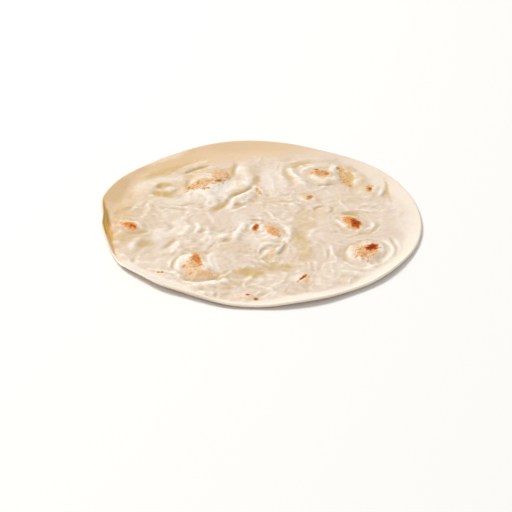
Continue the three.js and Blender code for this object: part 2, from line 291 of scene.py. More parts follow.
# Golden patches: painted shade in creases, hollows and on slopes turned from the light, and painted glow
# where light goes into thin or damp dough: as the spots, never broken up
SHADE_AND_GLOW_PATCHES = [Spot(*row) for row in (
    (67.5, 79, 5, 2.4, 95, 0.8),
    (70, 64, 16, 3.4, 98, 1.0),
    (102.5, 43, 16, 1.8, 92, 0.7),
    (71.5, 62, 14, 3.4, 97, 1.0),
    (74, 67, 9, 3, 92, 0.9),
    (-77, 50, 6, 3.6, 40, 0.85),
    (-74, 36, 11, 5.5, 8, 0.8),
    (-68, 48, 18, 12, 10, 0.25),
    (-50, 76, 11, 2.4, 38, 0.8),
    (-32, 16.5, 11, 4.5, 62, 0.6),
    (-17, 19, 8, 4, 85, 0.3),
    (-1, 60, 8, 3, 66, 0.6),
    (-5, 74, 14, 8, 90, 0.2),
    (33, 87, 12, 4, 40, 0.6),
    (24, 64, 15, 3, 98, 0.3),
    (36, -9, 9, 8, 90, 0.4),
    (32, -35, 14, 7, 92, 0.55),
    (34, -54, 11, 6, 90, 0.5),
    (15, -73, 15, 7, 0, 0.45),
    (-6, -81, 11, 6, 0, 0.75),
    (22, -71, 3, 2.4, 0, 0.7),
    (72, 4, 8, 4, 0, 0.6),
    (80, -25, 6, 2.4, 5, 0.5),
    (-23, -34, 7, 3.5, 10, 0.25),
    (-95, -30, 14, 7, 5, 0.5),
    (-84, -41, 6, 5, 40, 0.55),
    (-20, -98, 8, 4, 20, 0.4),
    (42, 6, 15, 9, 20, 0.3),
    (-101, 6, 13, 8, 95, 0.38),
    (-22, -83, 14, 6, 5, 0.35),
    (70, 28, 12, 7, 0, 0.2),
    (77, 78, 8, 5, 110, 0.5),
    (-92, -2, 30, 15, 80, 0.2),
    (-20, 78, 10, 3, 90, 0.5),
    (-14, 39.5, 9, 4, 35, 0.5),
    (-40, 66, 14, 8, 45, 0.3),
    (39.5, 31.5, 5, 4, 75, 0.7),
    (69.5, -17, 4.5, 3, 40, 0.8),
    (-47, 48, 13, 8, 40, 0.7),
    (-42, 51, 4, 2, 80, 0.95),
    (-31, 66, 13, 8, 75, 0.85),
    (52, 69, 9.5, 7, 150, 0.85),
    (86, -57, 4, 3, 60, 0.5),
    (-46, -57, 3.5, 3, 90, 0.8),
    (-47, -78, 11, 6, 85, 0.4),
    (10.5, -58.5, 3.5, 2, 90, 0.7),
    (-22, -50, 14, 6, 10, 0.2),
    (10, -59, 10, 6, 0, 0.35),
    (9, 24, 18, 7, 0, 0.2),
    (52, 56, 11, 4, 0, 0.2),
    (84, 47, 8, 6, 90, 0.5),
    (88, 38, 7, 4, 0, 0.35),
    (70, -46, 8, 6, 80, 0.25),
    (-55, 60, 9, 6, 60, 0.35),
    (-71, 77, 25, 6, 36, 0.6),
    (82, 63, 9, 6, 95, 0.35),
)]

# Pale patches, partly flour on the dough and partly painted highlight on rises, rims and slopes turned
# from
# the light: as the golden ones
FLOURY_HIGHLIGHTS = [Spot(*row) for row in (
    (-29, 44, 16, 10.5, 65, 1.0),
    (-6, 60, 14, 4, 100, 0.3),
    (12, 60, 22, 11, 90, 0.45),
    (-64, 26, 12, 6, 0, 0.5),
    (-68, -22, 12, 8, 40, 0.5),
    (-35, -31, 10, 8, 90, 0.35),
    (-32, -64, 12, 4, 95, 0.8),
    (-56, -67, 13, 3, 100, 0.45),
    (-14, -6, 12, 6, 90, 0.4),
    (92, -53, 15, 5, 95, 0.5),
    (70, -77, 18, 8, 15, 0.3),
    (46, -86, 18, 8, 10, 0.2),
    (63, 73, 11, 4, 95, 0.7),
    (2, -34, 10, 8, 0, 0.5),
    (-90, 49, 12, 9, 60, 0.5),
    (-77, 95, 24, 3.5, 40, 0.5),
    (-73, 60, 14, 4, 8, 0.45),
    (-53, 85, 12, 3, 38, 0.4),
    (25, -89, 6, 3.5, 60, 0.7),
    (42, -91, 5, 4, 90, 0.5),
    (35.5, 29, 5, 2.4, 75, 0.8),
)]

# Smooth patches, where part of the fine relief is weak: as the golden ones
CALM = [Spot(*row) for row in (
    (-80, -36, 22, 16, 60, 0.75),
    (55, -62, 24, 16, 80, 0.3),
)]

# Golden stretches of the lip, painted shade and glow where it turns from the light: the direction of a
# straight line, its distance from the middle, how far along the line the stretch starts and ends, and how
# golden it is
Facet = namedtuple("Facet", "toward inset start end depth")
FACETS = [Facet(*row) for row in (
    (173, 108.5, -52, -6, 0.3),
    (128, 106, -30, 32, 0.2),
    (193, 110.8, -60, 12, 0.85),
)]

# Widths over which a stretch comes in across its line and at its start, and how ragged it is
FACET_EDGE = 2
FACET_FADE = 14
FACET_RAGGED = 0.5

# The steep part of the lip at the left, which gets painted golden glow and shade: distances past its line
# and in from the edge over which it turns golden, distances along its line over which that weakens, and
# the share lost there
FLAP_LINE = (-0.5, 2)
FLAP_RIM = (2, 3.5)
FLAP_END = (4, 20)
FLAP_LOSS = 0.55

# The sides where the lip gets painted shade, tan, at the back and the left, and painted light, pale, at
# the front and the right: cosines of the angle from each where that starts and is full, distances past a
# lift's line over which it comes in, and how tan the very edge is with painted shade
SHADE_TOWARD = 136
SHADE_SPREAD = (0.15, 0.6)
SHADE_REACH = (-18, 5)
EDGE_SHADE = 0.4
LIT_TOWARD = 290
LIT_SPREAD = (-0.95, 0.45)
LIT_REACH = (-2, 3)

# Shares of the edge's band over which the lip's painted light runs out inwards, and how raggedly
LIT_BAND_SHARES = (0.2, 1.2)
LIT_RAGGED = 0.1

# Noises of the dough: the length of their features, how strong they are, and their seed
Noise = namedtuple("Noise", "length strength seed")
WARP_X = Noise(28, 8, 11)
WARP_Y = Noise(28, 8, 21)
WRINKLES = Noise(17, 0.3, 31)
PEBBLES = Noise(4.6, 0.22, 41)
ROUGH = Noise(45, 0.5, 51)
RAGGED_SPOT = Noise(4.5, 0.3, 61)
UNDER_HOLLOWS = Noise(18, 0.3, 71)
SWIRLS = Noise(46, 0.24, 81)
PATCHY = Noise(13, 0.8, 91)
LUMPS = Noise(11, 0.16, 101)
RAGGED_LIP = Noise(14, 2.5, 111)

# The lattice's points each way before it repeats, what brings its noise to about 1, the swirls' waves,
# and the height of the noise that a wrinkle spans
NOISE_SIDE = 64
NOISE_GAIN = 1.5
SWIRL_TURNS = 1.8
WRINKLE_BREADTH = 0.2

# Strength of the ripples: its mean, its least and its most
PATCHY_MEAN = 0.7
PATCHY_LIMITS = (0.1, 1.2)

# Strength of the other fine relief: its mean, its loss per millimetre to the right and to the back, its
# least and its most
ROUGH_MEAN = 0.75
ROUGH_LOSS = 0.002
ROUGH_LIMITS = (0.25, 1.3)

# Shares of a spot's ellipse over which its browning eases out
SPOT_EASE = (0.45, 1.5)

# The relief that tells rises from hollows, for painted light on the rises and painted shade in the
# hollows: reach of the blur it is set against, in grid steps, and the height that counts as one
NEAR_REACH = 2.5
NEAR_HEIGHT = 0.3
WIDE_REACH = 9
WIDE_HEIGHT = 1.0

# The least rise of a blister that is painted paler than the dough round it, partly flour and partly
# painted light
PUFF_RISE = 1

# The underside: how far its hollows stay from the edge, and the ranges that its spots are drawn from
UNDER_INSET = 7
UNDER_SPOTS = 46
UNDER_SEED = 5
UNDER_SPREAD = 108
UNDER_WIDE = (2.5, 8)
UNDER_STRETCH = (1, 1.8)
UNDER_TURN = (0, 180)
UNDER_DEPTH = (0.3, 0.8)
UNDER_BROKEN = (0.3, 1)

# The finish: its noises' lengths, their detail and the middle of their range
MOTTLE_LENGTH = 26
GRAIN_LENGTH = 2.4
FLECK_LENGTH = 2.2
FINE_GRAIN_LENGTH = 0.9
NOISE_DETAIL = 3.0
FINE_DETAIL = 2.0
NOISE_MIDDLE = 0.5

# How much each value makes the dough paler, from a middling start: the relief and the blisters give
# painted light on rises and painted shade in hollows, and the mottle and the grain give the dough's own
# tone. Then the ranges in which it goes from the hollows' painted shade to body and from body to flour
# and painted highlight
PALE_START = 0.5
NEAR_LIGHT_AND_SHADE = 0.3
WIDE_LIGHT_AND_SHADE = 0.22
PALE_MOTTLE = 0.7
PALE_GRAIN = 0.2
PUFF_LIGHT = 0.16
SHADE_TO_BODY = (0.0, 0.55)
BODY_TO_FLOUR_AND_HIGHLIGHT = (0.5, 1.0)
# Shares of the lip's painted light and painted shade, and how far the mottle breaks up the golden painted
# shade and glow
LIP_LIGHT_SHARE = 0.85
LIP_SHADE_SHARE = 0.8
SHADE_GLOW_MOTTLE = 0.6

# Browning: where it starts to break up, the flecks' edges, the share taken off between them, their
# strength and the grain's, the ramp's stops, and where crust covers dough and turns smoother
BREAK_UP = (0.02, 0.25)
FLECK_EDGES = (0.48, 0.64)
FLECK_GAP = 0.4
FLECK_STRENGTH = 0.65
CRUST_GRAIN = 0.3
CRUST_STOPS = (0.15, 0.38, 0.62, 0.82, 1.0)
CRUST_COVERS = (0.02, 0.22)
CRUST_SMOOTHER = (0.3, 1.0)
CRUST_GLOSS = 0.2
DOUGH_ROUGHNESS = 0.78

# The grain's bump, the dough's shine, and how deep each colour of light goes into it
FINE_GRAIN_SHARE = 0.5
BUMP_STRENGTH = 0.5
BUMP_HEIGHT = 0.25
SHINE = 0.12
GLOW = 0.5
GLOW_COLOURS = (1.0, 0.6, 0.3)
GLOW_DEPTH = 2.0

# The photograph's view: pixels in its 512 by 512 frame, and where the tortilla's middle lies in it
PHOTO_SIDE = 512
PHOTO_MIDDLE = (258.2, 219.2)
PIXELS_PER_MM = 1.30
VIEW_ELEVATION = 30.0
VIEW_DISTANCE = 1.0
SENSOR_MM = 36.0

# The stage: half the floor's side in metres, how far it lies below the dough, and the lights
FLOOR_HALF = 6.0
FLOOR_GAP = 0.1
FLOOR_ROUGHNESS = 0.9
SKY_COLOUR = (1.0, 0.985, 0.965, 1)
KEY_PLACE = (-3.0, 1.3, 4.4)
KEY_SIZE = 1.8
KEY_COLOUR = (1.0, 0.98, 0.95)


def smoothstep(value, low, high):
    """Eased share of the way from low to high: three times its square less twice its cube."""
    share = np.clip((value - low) / (high - low), 0, 1)
    return share * share * (3 - 2 * share)


def lattice_noise(x, y, seed):
    """Smooth noise from about -1 to 1: a random slope at each whole point of the plane, carried to the
    place from its four corners and blended by a fifth-order ease."""
    turns = np.random.default_rng(seed).uniform(0, 2 * np.pi, (NOISE_SIDE, NOISE_SIDE))
    column = np.floor(x).astype(int)
    row = np.floor(y).astype(int)
    right = x - column
    up = y - row

    def corner(i, j):
        turn = turns[(row + j) % NOISE_SIDE, (column + i) % NOISE_SIDE]
        return np.cos(turn) * (right - i) + np.sin(turn) * (up - j)

    ease_right = right ** 3 * (right * (6 * right - 15) + 10)
    ease_up = up ** 3 * (up * (6 * up - 15) + 10)
    low = corner(0, 0) + ease_right * (corner(1, 0) - corner(0, 0))
    high = corner(0, 1) + ease_right * (corner(1, 1) - corner(0, 1))
    return NOISE_GAIN * (low + ease_up * (high - low))


def layered_noise(noise, x, y, layers=2):
    """Lattice noise of a noise's length plus finer layers, each half as long and half as strong."""
    total = 0
    for layer in range(layers):
        share = 0.5 ** layer
        pitch = noise.length * share
        total = total + share * lattice_noise(x / pitch, y / pitch, noise.seed + layer)
    return total


def past_line(lift, x, y):
    """How far a place lies beyond a lift's straight line."""
    toward = math.radians(lift.toward)
    return x * math.cos(toward) + y * math.sin(toward) - lift.inset


def along_line(lift, x, y):
    """How far along a lift's straight line a place lies, anticlockwise from its middle."""
    toward = math.radians(lift.toward)
    return y * math.cos(toward) - x * math.sin(toward)


def toward_side(angle, toward, spread):
    """From 0 to 1 on the side that a direction points to, eased between two cosines of the angle."""
    return smoothstep(np.cos(angle - math.radians(toward)), *spread)


def in_ellipse(item, x, y):
    """Distance from an item's centre, as a share of its turned ellipse, 1 on the ellipse itself."""
    turn = math.radians(item.turn)
    along = (x - item.x) * math.cos(turn) + (y - item.y) * math.sin(turn)
    across = (y - item.y) * math.cos(turn) - (x - item.x) * math.sin(turn)
    return np.hypot(along / item.long, across / item.wide)


def pull(sines, x, y):
    """How far a set of sines pulls a place: the sum of them all."""
    waves = [np.sin((sine.x * x + sine.y * y) / sine.length + sine.lead) for sine in sines]
    return KNEAD_PULL * sum(waves)


def knead(x, y):
    """The place pulled about sideways and lengthways."""
    return x + pull(KNEAD_SIDEWAYS, x, y), y + pull(KNEAD_LENGTHWAYS, x, y)


def dome(blister, x, y):
    """A blister's height as a share of its rise: flattish on its crest, eased down to its ellipse."""
    return 1 - smoothstep(in_ellipse(blister, x, y), blister.crest, 1)


def fold_height(fold, x, y):
    """A bell-shaped ridge across the curve through a fold's three points, running out at both ends. The
    curve is a parabola, taken as short straight steps, and each place belongs to its nearest step."""
    start = np.array([fold.x0, fold.y0])
    middle = np.array([fold.x1, fold.y1])
    end = np.array([fold.x2, fold.y2])
    control = 2 * middle - (start + end) / 2
    share = np.linspace(0, 1, FOLD_STEPS + 1)[:, None]
    curve = (1 - share) ** 2 * start + 2 * share * (1 - share) * control + share ** 2 * end
    nearest = np.full_like(x, np.inf)
    place = np.zeros_like(x)
    for step in range(FOLD_STEPS):
        (from_x, from_y), (to_x, to_y) = curve[step], curve[step + 1]
        run_x = to_x - from_x
        run_y = to_y - from_y
        along = ((x - from_x) * run_x + (y - from_y) * run_y) / (run_x ** 2 + run_y ** 2)
        along = np.clip(along, 0, 1)
        apart = np.hypot(x - from_x - along * run_x, y - from_y - along * run_y)
        place = np.where(apart < nearest, (step + along) / FOLD_STEPS, place)
        nearest = np.minimum(nearest, apart)
    ends = smoothstep(place, 0, FOLD_TAPER) * (1 - smoothstep(place, 1 - FOLD_TAPER, 1))
    return fold.rise * ends * np.exp(-(nearest / fold.wide) ** 2)


def large_relief(x, y):
    """The solid's own relief: slow swells, then every blister and fold on the kneaded plane."""
    wave = 2 * np.pi / SWELL_LENGTH
    sideways = np.sin(wave * (x + SWELL_SKEW_X * y))
    lengthways = np.sin(wave * (y + SWELL_SKEW_Y * x) + SWELL_LEAD)
    height = SWELL_RISE * sideways * lengthways
    across, along = knead(x, y)
    for blister in BLISTERS:
        height = height + blister.rise * dome(blister, across, along)
    for fold in FOLDS:
        height = height + fold_height(fold, across, along)
    return height


def browning(spots, x, y):
    """Depth of browning, how broken up it is and how ruddy: each spot eases out from its middle, and
    where spots meet the deepest wins."""
    across, along = knead(x, y)
    ragged = 1 + RAGGED_SPOT.strength * layered_noise(RAGGED_SPOT, x, y)
    depth = np.zeros_like(x)
    broken = np.zeros_like(x)
    ruddy = np.zeros_like(x)
    for spot in spots:
        own = spot.depth * (1 - smoothstep(ragged * in_ellipse(spot, across, along), *SPOT_EASE))
        broken = np.where(own > depth, spot.broken, broken)
        ruddy = np.where(own > depth, spot.ruddy, ruddy)
        depth = np.maximum(depth, own)
    return depth, broken, ruddy


def fine_relief(x, y):
    """Ripples and creases, then swirls along the level lines of a slow noise, lumps, round ridges where
    another noise is near nought, and pebbles, stronger in some places than in others."""
    across, along = knead(x, y)
    patchy = PATCHY_MEAN + PATCHY.strength * layered_noise(PATCHY, x, y, 1)
    patchy = np.clip(patchy, *PATCHY_LIMITS)
    height = 0
    for blister in BLISTERS:
        beyond = blister.wide * np.maximum(in_ellipse(blister, across, along) - 1, 0)
        wave = np.sin(2 * np.pi * beyond / RIPPLE_PITCH) * np.exp(-beyond / RIPPLE_FADE)
        height = height - blister.ripple * patchy * wave
    for crease in CREASES:
        height = height + fold_height(crease, across, along)
    bent_x = x + WARP_X.strength * layered_noise(WARP_X, x, y)
    bent_y = y + WARP_Y.strength * layered_noise(WARP_Y, x, y)
    swirls = np.sin(2 * np.pi * SWIRL_TURNS * layered_noise(SWIRLS, bent_x, bent_y))
    wrinkles = np.exp(-(layered_noise(WRINKLES, bent_x, bent_y) / WRINKLE_BREADTH) ** 2)
    lumps = layered_noise(LUMPS, x, y)
    pebbles = layered_noise(PEBBLES, x, y)
    plain = SWIRLS.strength * swirls + WRINKLES.strength * wrinkles
    plain = plain + LUMPS.strength * lumps + PEBBLES.strength * pebbles
    rough = ROUGH_MEAN - ROUGH_LOSS * x - ROUGH_LOSS * y + ROUGH.strength * layered_noise(ROUGH, x, y, 1)
    rough = np.clip(rough, *ROUGH_LIMITS)
    return height + rough * (1 - browning(CALM, x, y)[0]) * plain


def no_thinner(relief, thickness):
    """The relief, eased so that no dent leaves less than the thinnest dough: half the sum of it and its
    lowest value, and of the length of a triangle whose sides are their difference and the ease."""
    lowest = THINNEST - thickness
    return (relief + lowest + np.hypot(relief - lowest, THINNEST_EASE)) / 2


def puffiness(x, y):
    """How far a place is up on a blister, from 0 to 1."""
    across, along = knead(x, y)
    most = np.zeros_like(x)
    for blister in BLISTERS:
        if blister.rise > PUFF_RISE:
            most = np.maximum(most, dome(blister, across, along))
    return most


def facet_shade_glow(x, y):
    """How much golden painted shade and glow the lip's stretches get: each lies beyond its line, between
    two places on it.
    """
    most = np.zeros_like(x)
    for facet in FACETS:
        along = along_line(facet, x, y)
        inside = smoothstep(past_line(facet, x, y), 0, FACET_EDGE)
        inside = inside * smoothstep(along, facet.start, facet.start + FACET_FADE)
        inside = inside * smoothstep(-along, -facet.end, FACET_EDGE - facet.end)
        most = np.maximum(most, facet.depth * inside)
    return most


def underside_spots():
    """Browned spots strewn over the underside by a seeded draw."""
    draw = np.random.default_rng(UNDER_SEED)
    spots = []
    for _ in range(UNDER_SPOTS):
        out = UNDER_SPREAD * math.sqrt(draw.uniform())
        angle = draw.uniform(0, 2 * math.pi)
        wide = draw.uniform(*UNDER_WIDE)
        long = wide * draw.uniform(*UNDER_STRETCH)
        turn = draw.uniform(*UNDER_TURN)
        depth = draw.uniform(*UNDER_DEPTH)
        broken = draw.uniform(*UNDER_BROKEN)
        ruddy = draw.uniform()
        x = out * math.cos(angle)
        y = out * math.sin(angle)
        spots.append(Spot(x, y, long, wide, turn, depth, broken, ruddy))
    return spots


def turned_up(lift, points):
    """Points with what lies beyond a lift's line bent up: round an arc as wide as the bend, then straight
    on at the full slope. Their heights stay square to the dough."""
    toward = math.radians(lift.toward)
    slope = math.radians(lift.slope)
    x, y, z = points.T
    past = past_line(lift, x, y)
    turn = slope * np.clip(past / lift.bend, 0, 1)
    straight = np.maximum(past - lift.bend, 0)
    radius = lift.bend / slope
    reach = np.minimum(past, 0) + (radius - z) * np.sin(turn) + straight * np.cos(turn)
    height = radius - (radius - z) * np.cos(turn) + straight * np.sin(turn)
    drawn_in = reach - past
    return np.stack([x + drawn_in * math.cos(toward), y + drawn_in * math.sin(toward), height], -1)


def lifted(x, y, z):
    """Points of the flat sheet after all of the lip's lifts, one after another."""
    points = np.stack([x, y, z], -1)
    for lift in LIP_LIFTS:
        points = turned_up(lift, points)
    return points


def on_lip(x, y, low, high):
    """From 0 on the flat of the sheet to 1 beyond a lift's line, eased between two distances past it."""
    flat = 1
    for lift in LIP_LIFTS:
        flat = flat * (1 - smoothstep(past_line(lift, x, y), low, high))
    return 1 - flat


def edge_band(angle):
    """Width of the band along the edge in which the relief fades, wider towards the right."""
    return EDGE_BAND + (SIDE_BAND - EDGE_BAND) * toward_side(angle, SIDE_TOWARD, SIDE_SPREAD)


def disc_grid(rings):
    """A square grid laid on a disc so that each square ring becomes a circle. Returns the distance from
    the middle as a share of the radius, and the angle, for each point, row by row."""
    steps = np.linspace(-1, 1, 2 * rings + 1)
    u, v = np.meshgrid(steps, steps)
    sideways = np.abs(u) >= np.abs(v)
    long_side = np.where(sideways, u, v)
    short_side = np.where(sideways, v, u)
    slant = np.pi / 4 * short_side / np.where(long_side == 0, 1, long_side)
    angle = np.where(sideways, slant, np.pi / 2 - slant) + np.pi * (long_side < 0)
    return np.abs(long_side).ravel(), angle.ravel()


def grid_faces(side):
    """The squares between the points of a square grid, anticlockwise from above."""
    index = np.arange(side * side).reshape(side, side)
    return np.stack([index[:-1, :-1], index[:-1, 1:], index[1:, 1:], index[1:, :-1]], -1).reshape(-1, 4)


def grid_border(side):
    """Indices of a square grid's outer points, anticlockwise from above."""
    index = np.arange(side * side).reshape(side, side)
    return np.concatenate([index[0, :-1], index[:-1, -1], index[-1, :0:-1], index[:0:-1, 0]])


def softened(values, reach):
    """Values on a square grid, blurred by a bell of that reach in grid steps, through their spectrum."""
    side = math.isqrt(len(values))
    pitch = np.fft.fftfreq(side)
    bell = np.exp(-2 * (np.pi * reach) ** 2 * (pitch[:, None] ** 2 + pitch ** 2))
    return np.fft.ifft2(np.fft.fft2(values.reshape(side, side)) * bell).real.ravel()


def top_face(sizes):
    """The top on a fine grid: its points, and the values that its points carry."""
    radius = sizes.sheet_radius / MM
    share, angle = disc_grid(sizes.rings)
    distance = radius * share
    x = distance * np.cos(angle)
    y = distance * np.sin(angle)
    inward = (radius - distance) / edge_band(angle)
    rough = (1 - on_lip(x, y, SMOOTH_FROM, SMOOTH_TO)) * smoothstep(inward, 0, 1)
    edge = sizes.edge_thickness / MM
    body = sizes.sheet_thickness / MM
    thinning = smoothstep(distance, radius - sizes.edge_thinning / MM, radius)
    relief = no_thinner(rough * (large_relief(x, y) + fine_relief(x, y)), body)
    points = lifted(x, y, body + (edge - body) * thinning + relief)
    ragged = RAGGED_LIP.strength * layered_noise(RAGGED_LIP, x, y)
    ragged_x = x + ragged
    ragged_y = y + ragged
    toast, broken, ruddy = browning(SPOTS, x, y)
    # The lip's stretches get golden painted shade and glow
    stretches = facet_shade_glow(x + FACET_RAGGED * ragged, y + FACET_RAGGED * ragged)
    # Golden patches of painted shade and glow, together with the lip's stretches
    golden = np.maximum(browning(SHADE_AND_GLOW_PATCHES, x, y)[0], stretches)
    # Flour, partly painted highlight
    floury = browning(FLOURY_HIGHLIGHTS, x, y)[0]
    # The lip's side at the back and the left gets painted shade, its side at the front and the right
    # painted light
    tan = toward_side(angle, SHADE_TOWARD, SHADE_SPREAD)
    lit_side = toward_side(angle, LIT_TOWARD, LIT_SPREAD)
    lit_band = 1 - smoothstep(inward + LIT_RAGGED * ragged, *LIT_BAND_SHARES)
    # The steep lip at the left gets painted golden glow and shade
    steepest = LIP_LIFTS[0]
    flap = smoothstep(past_line(steepest, x, y), *FLAP_LINE) * smoothstep(radius - distance, *FLAP_RIM)
    flap = flap * (1 - FLAP_LOSS * smoothstep(along_line(steepest, x, y), *FLAP_END))
    values = {
        "toast": toast,
        "broken": broken,
        "ruddy": ruddy,
        "golden": golden,
        # The relief and the blisters, for painted light on rises and painted shade in hollows
        "near": (relief - softened(relief, NEAR_REACH)) / NEAR_HEIGHT,
        "wide": (relief - softened(relief, WIDE_REACH)) / WIDE_HEIGHT,
        "puff": puffiness(x, y) * rough,
        "floury": floury,
        "pale_lip": lit_side * np.maximum(on_lip(ragged_x, ragged_y, *LIT_REACH), lit_band),
        "tan_lip": tan * on_lip(ragged_x, ragged_y, *SHADE_REACH),
        "flap": flap,
    }
    return points, values


def under_face(sizes):
    """The underside on a grid half as fine: its points, and the values that its points carry."""
    radius = sizes.sheet_radius / MM
    share, angle = disc_grid(sizes.rings // 2)
    distance = radius * share
    x = distance * np.cos(angle)
    y = distance * np.sin(angle)
    inward = smoothstep(radius - distance, 0, UNDER_INSET)
    dents = np.clip(layered_noise(UNDER_HOLLOWS, x, y), 0, 1)
    hollow = UNDER_HOLLOWS.strength * inward * dents
    points = lifted(x, y, hollow)
    toast, broken, ruddy = browning(underside_spots(), x, y)
    return points, {"toast": toast, "broken": broken, "ruddy": ruddy}


def edge_face(sizes):
    """The round edge as rings of points from the underside up to the top: a half ellipse carried along
    the edge. Each ring has as many points as the top's border."""
    radius = sizes.sheet_radius / MM
    _, angle = disc_grid(sizes.rings)
    border = grid_border(2 * sizes.rings + 1)
    thick = sizes.edge_thickness / MM
    turns = np.linspace(0, np.pi, sizes.edge_rings + 2)[1:-1, None]
    reach = radius + thick * sizes.edge_bulge * np.sin(turns)
    height = np.broadcast_to(thick / 2 * (1 - np.cos(turns)), (sizes.edge_rings, len(border)))
    across = reach * np.cos(angle[border])
    along = reach * np.sin(angle[border])
    round_edge = np.tile(angle[border], sizes.edge_rings)
    # The edge gets the lip's painted light and painted shade
    values = {
        "pale_lip": toward_side(round_edge, LIT_TOWARD, LIT_SPREAD),
        "tan_lip": EDGE_SHADE * toward_side(round_edge, SHADE_TOWARD, SHADE_SPREAD),
    }
    return lifted(across.ravel(), along.ravel(), height.ravel()), values


def tortilla_surface(sizes):
    """The whole closed skin. Returns points in metres, arrays of faces, and the points' values. The
    underside's border has half as many points, so three triangles join each of its steps to the edge."""
    top, top_values = top_face(sizes)
    under, under_values = under_face(sizes)
    edge, edge_values = edge_face(sizes)
    points = np.concatenate([top, under, edge]) * MM
    values = {}
    for key in top_values:
        parts = [top_values[key], under_values.get(key, np.zeros(len(under)))]
        values[key] = np.concatenate(parts + [edge_values.get(key, np.zeros(len(edge)))])

    top_side = 2 * sizes.rings + 1
    under_side = 2 * (sizes.rings // 2) + 1
    under_faces = len(top) + grid_faces(under_side)[:, ::-1]
    under_border = len(top) + grid_border(under_side)
    top_border = grid_border(top_side)
    loops = len(top) + len(under) + np.arange(len(edge)).reshape(sizes.edge_rings, -1)
    loops = np.concatenate([loops, top_border[None]])
    low, high = loops[:-1], loops[1:]
    strips = np.stack([low, np.roll(low, -1, 1), np.roll(high, -1, 1), high], -1).reshape(-1, 4)

    here, ahead = under_border, np.roll(under_border, -1)
    first, between, last = loops[0, 0::2], loops[0, 1::2], np.roll(loops[0, 0::2], -1)
    joins = np.concatenate([
        np.stack([here, ahead, between], -1),
        np.stack([here, between, first], -1),
        np.stack([ahead, last, between], -1),
    ])
    return points, [grid_faces(top_side), under_faces, strips, joins], values


def mesh_piece(name, points, face_arrays, values):
    """A smooth mesh object from points and arrays of faces, with its points' values as attributes."""
    corners = np.concatenate([faces.ravel() for faces in face_arrays])
    counts = np.concatenate([np.full(len(faces), faces.shape[1]) for faces in face_arrays])
    mesh = bpy.data.meshes.new(name)
    mesh.vertices.add(len(points))
    mesh.vertices.foreach_set("co", points.astype(np.float32).ravel())
    mesh.loops.add(len(corners))
    mesh.loops.foreach_set("vertex_index", corners.astype(np.int32))
    mesh.polygons.add(len(counts))
    mesh.polygons.foreach_set("loop_start", (np.cumsum(counts) - counts).astype(np.int32))
    mesh.polygons.foreach_set("use_smooth", np.ones(len(counts), bool))
    for key, numbers in values.items():
        attribute = mesh.attributes.new(key, "FLOAT", "POINT")
        attribute.data.foreach_set("value", numbers.astype(np.float32))
    mesh.update(calc_edges=True)
    if mesh.validate():
        raise RuntimeError(f"{name}: the mesh had faults")
    piece = bpy.data.objects.new(name, mesh)
    bpy.context.scene.collection.objects.link(piece)
    return piece


class Wire:
    """One output of a shader node, used in sums like a number: each operator adds a Math node."""

    def __init__(self, tree, socket=None):
        self.tree = tree
        self.socket = socket

    def node(self, kind, settings=None, sockets=None, output=0):
        """Adds any node: its settings first, a ramp's stops of place and colour among them, then its
        sockets' values or links. Returns one output."""
        made = self.tree.nodes.new(kind)
        for key, value in (settings or {}).items():
            if key == "stops":
                elements = made.color_ramp.elements
                while len(elements) < len(value):
                    elements.new(1)
                for element, stop in zip(elements, value):
                    element.position, element.color = stop
            else:
                setattr(made, key, value)
        for key, value in (sockets or {}).items():
            if isinstance(value, Wire):
                self.tree.links.new(value.socket, made.inputs[key])
            else:
                made.inputs[key].default_value = value
        return Wire(self.tree, made.outputs[output] if made.outputs else None)

    def math(self, operation, *values):
        """A Math node on two values."""
        return self.node("ShaderNodeMath", {"operation": operation}, dict(enumerate(values)))

    def __add__(self, other):
        return self.math("ADD", self, other)

    def __radd__(self, other):
        return self.math("ADD", other, self)

    def __sub__(self, other):
        return self.math("SUBTRACT", self, other)

    def __rsub__(self, other):
        return self.math("SUBTRACT", other, self)

    def __mul__(self, other):
        return self.math("MULTIPLY", self, other)

    def __rmul__(self, other):
        return self.math("MULTIPLY", other, self)

    def eased(self, low, high):
        """Eased share of the way from low to high."""
        sockets = {"Value": self, "From Min": low, "From Max": high}
        return self.node("ShaderNodeMapRange", {"interpolation_type": "SMOOTHSTEP"}, sockets)

    def attribute(self, name):
        """A value that the mesh's points carry."""
        return self.node("ShaderNodeAttribute", {"attribute_name": name}, output="Fac")

    def noise(self, place, length, detail):
        """Noise from 0 to 1 with features of that length in metres."""
        sockets = {"Vector": place, "Scale": 1 / length, "Detail": detail}
        return self.node("ShaderNodeTexNoise", {}, sockets)

    def ramp(self, stops):
        """A colour that runs through stops of place and colour as this value goes from 0 to 1."""
        return self.node("ShaderNodeValToRGB", {"stops": stops}, {"Fac": self})

    def mixed(self, first, second):
        """A colour that goes from the first to the second as this value goes from 0 to 1."""
        settings = {"data_type": "RGBA"}
        return self.node("ShaderNodeMix", settings, {0: self, 6: first, 7: second}, output=2)


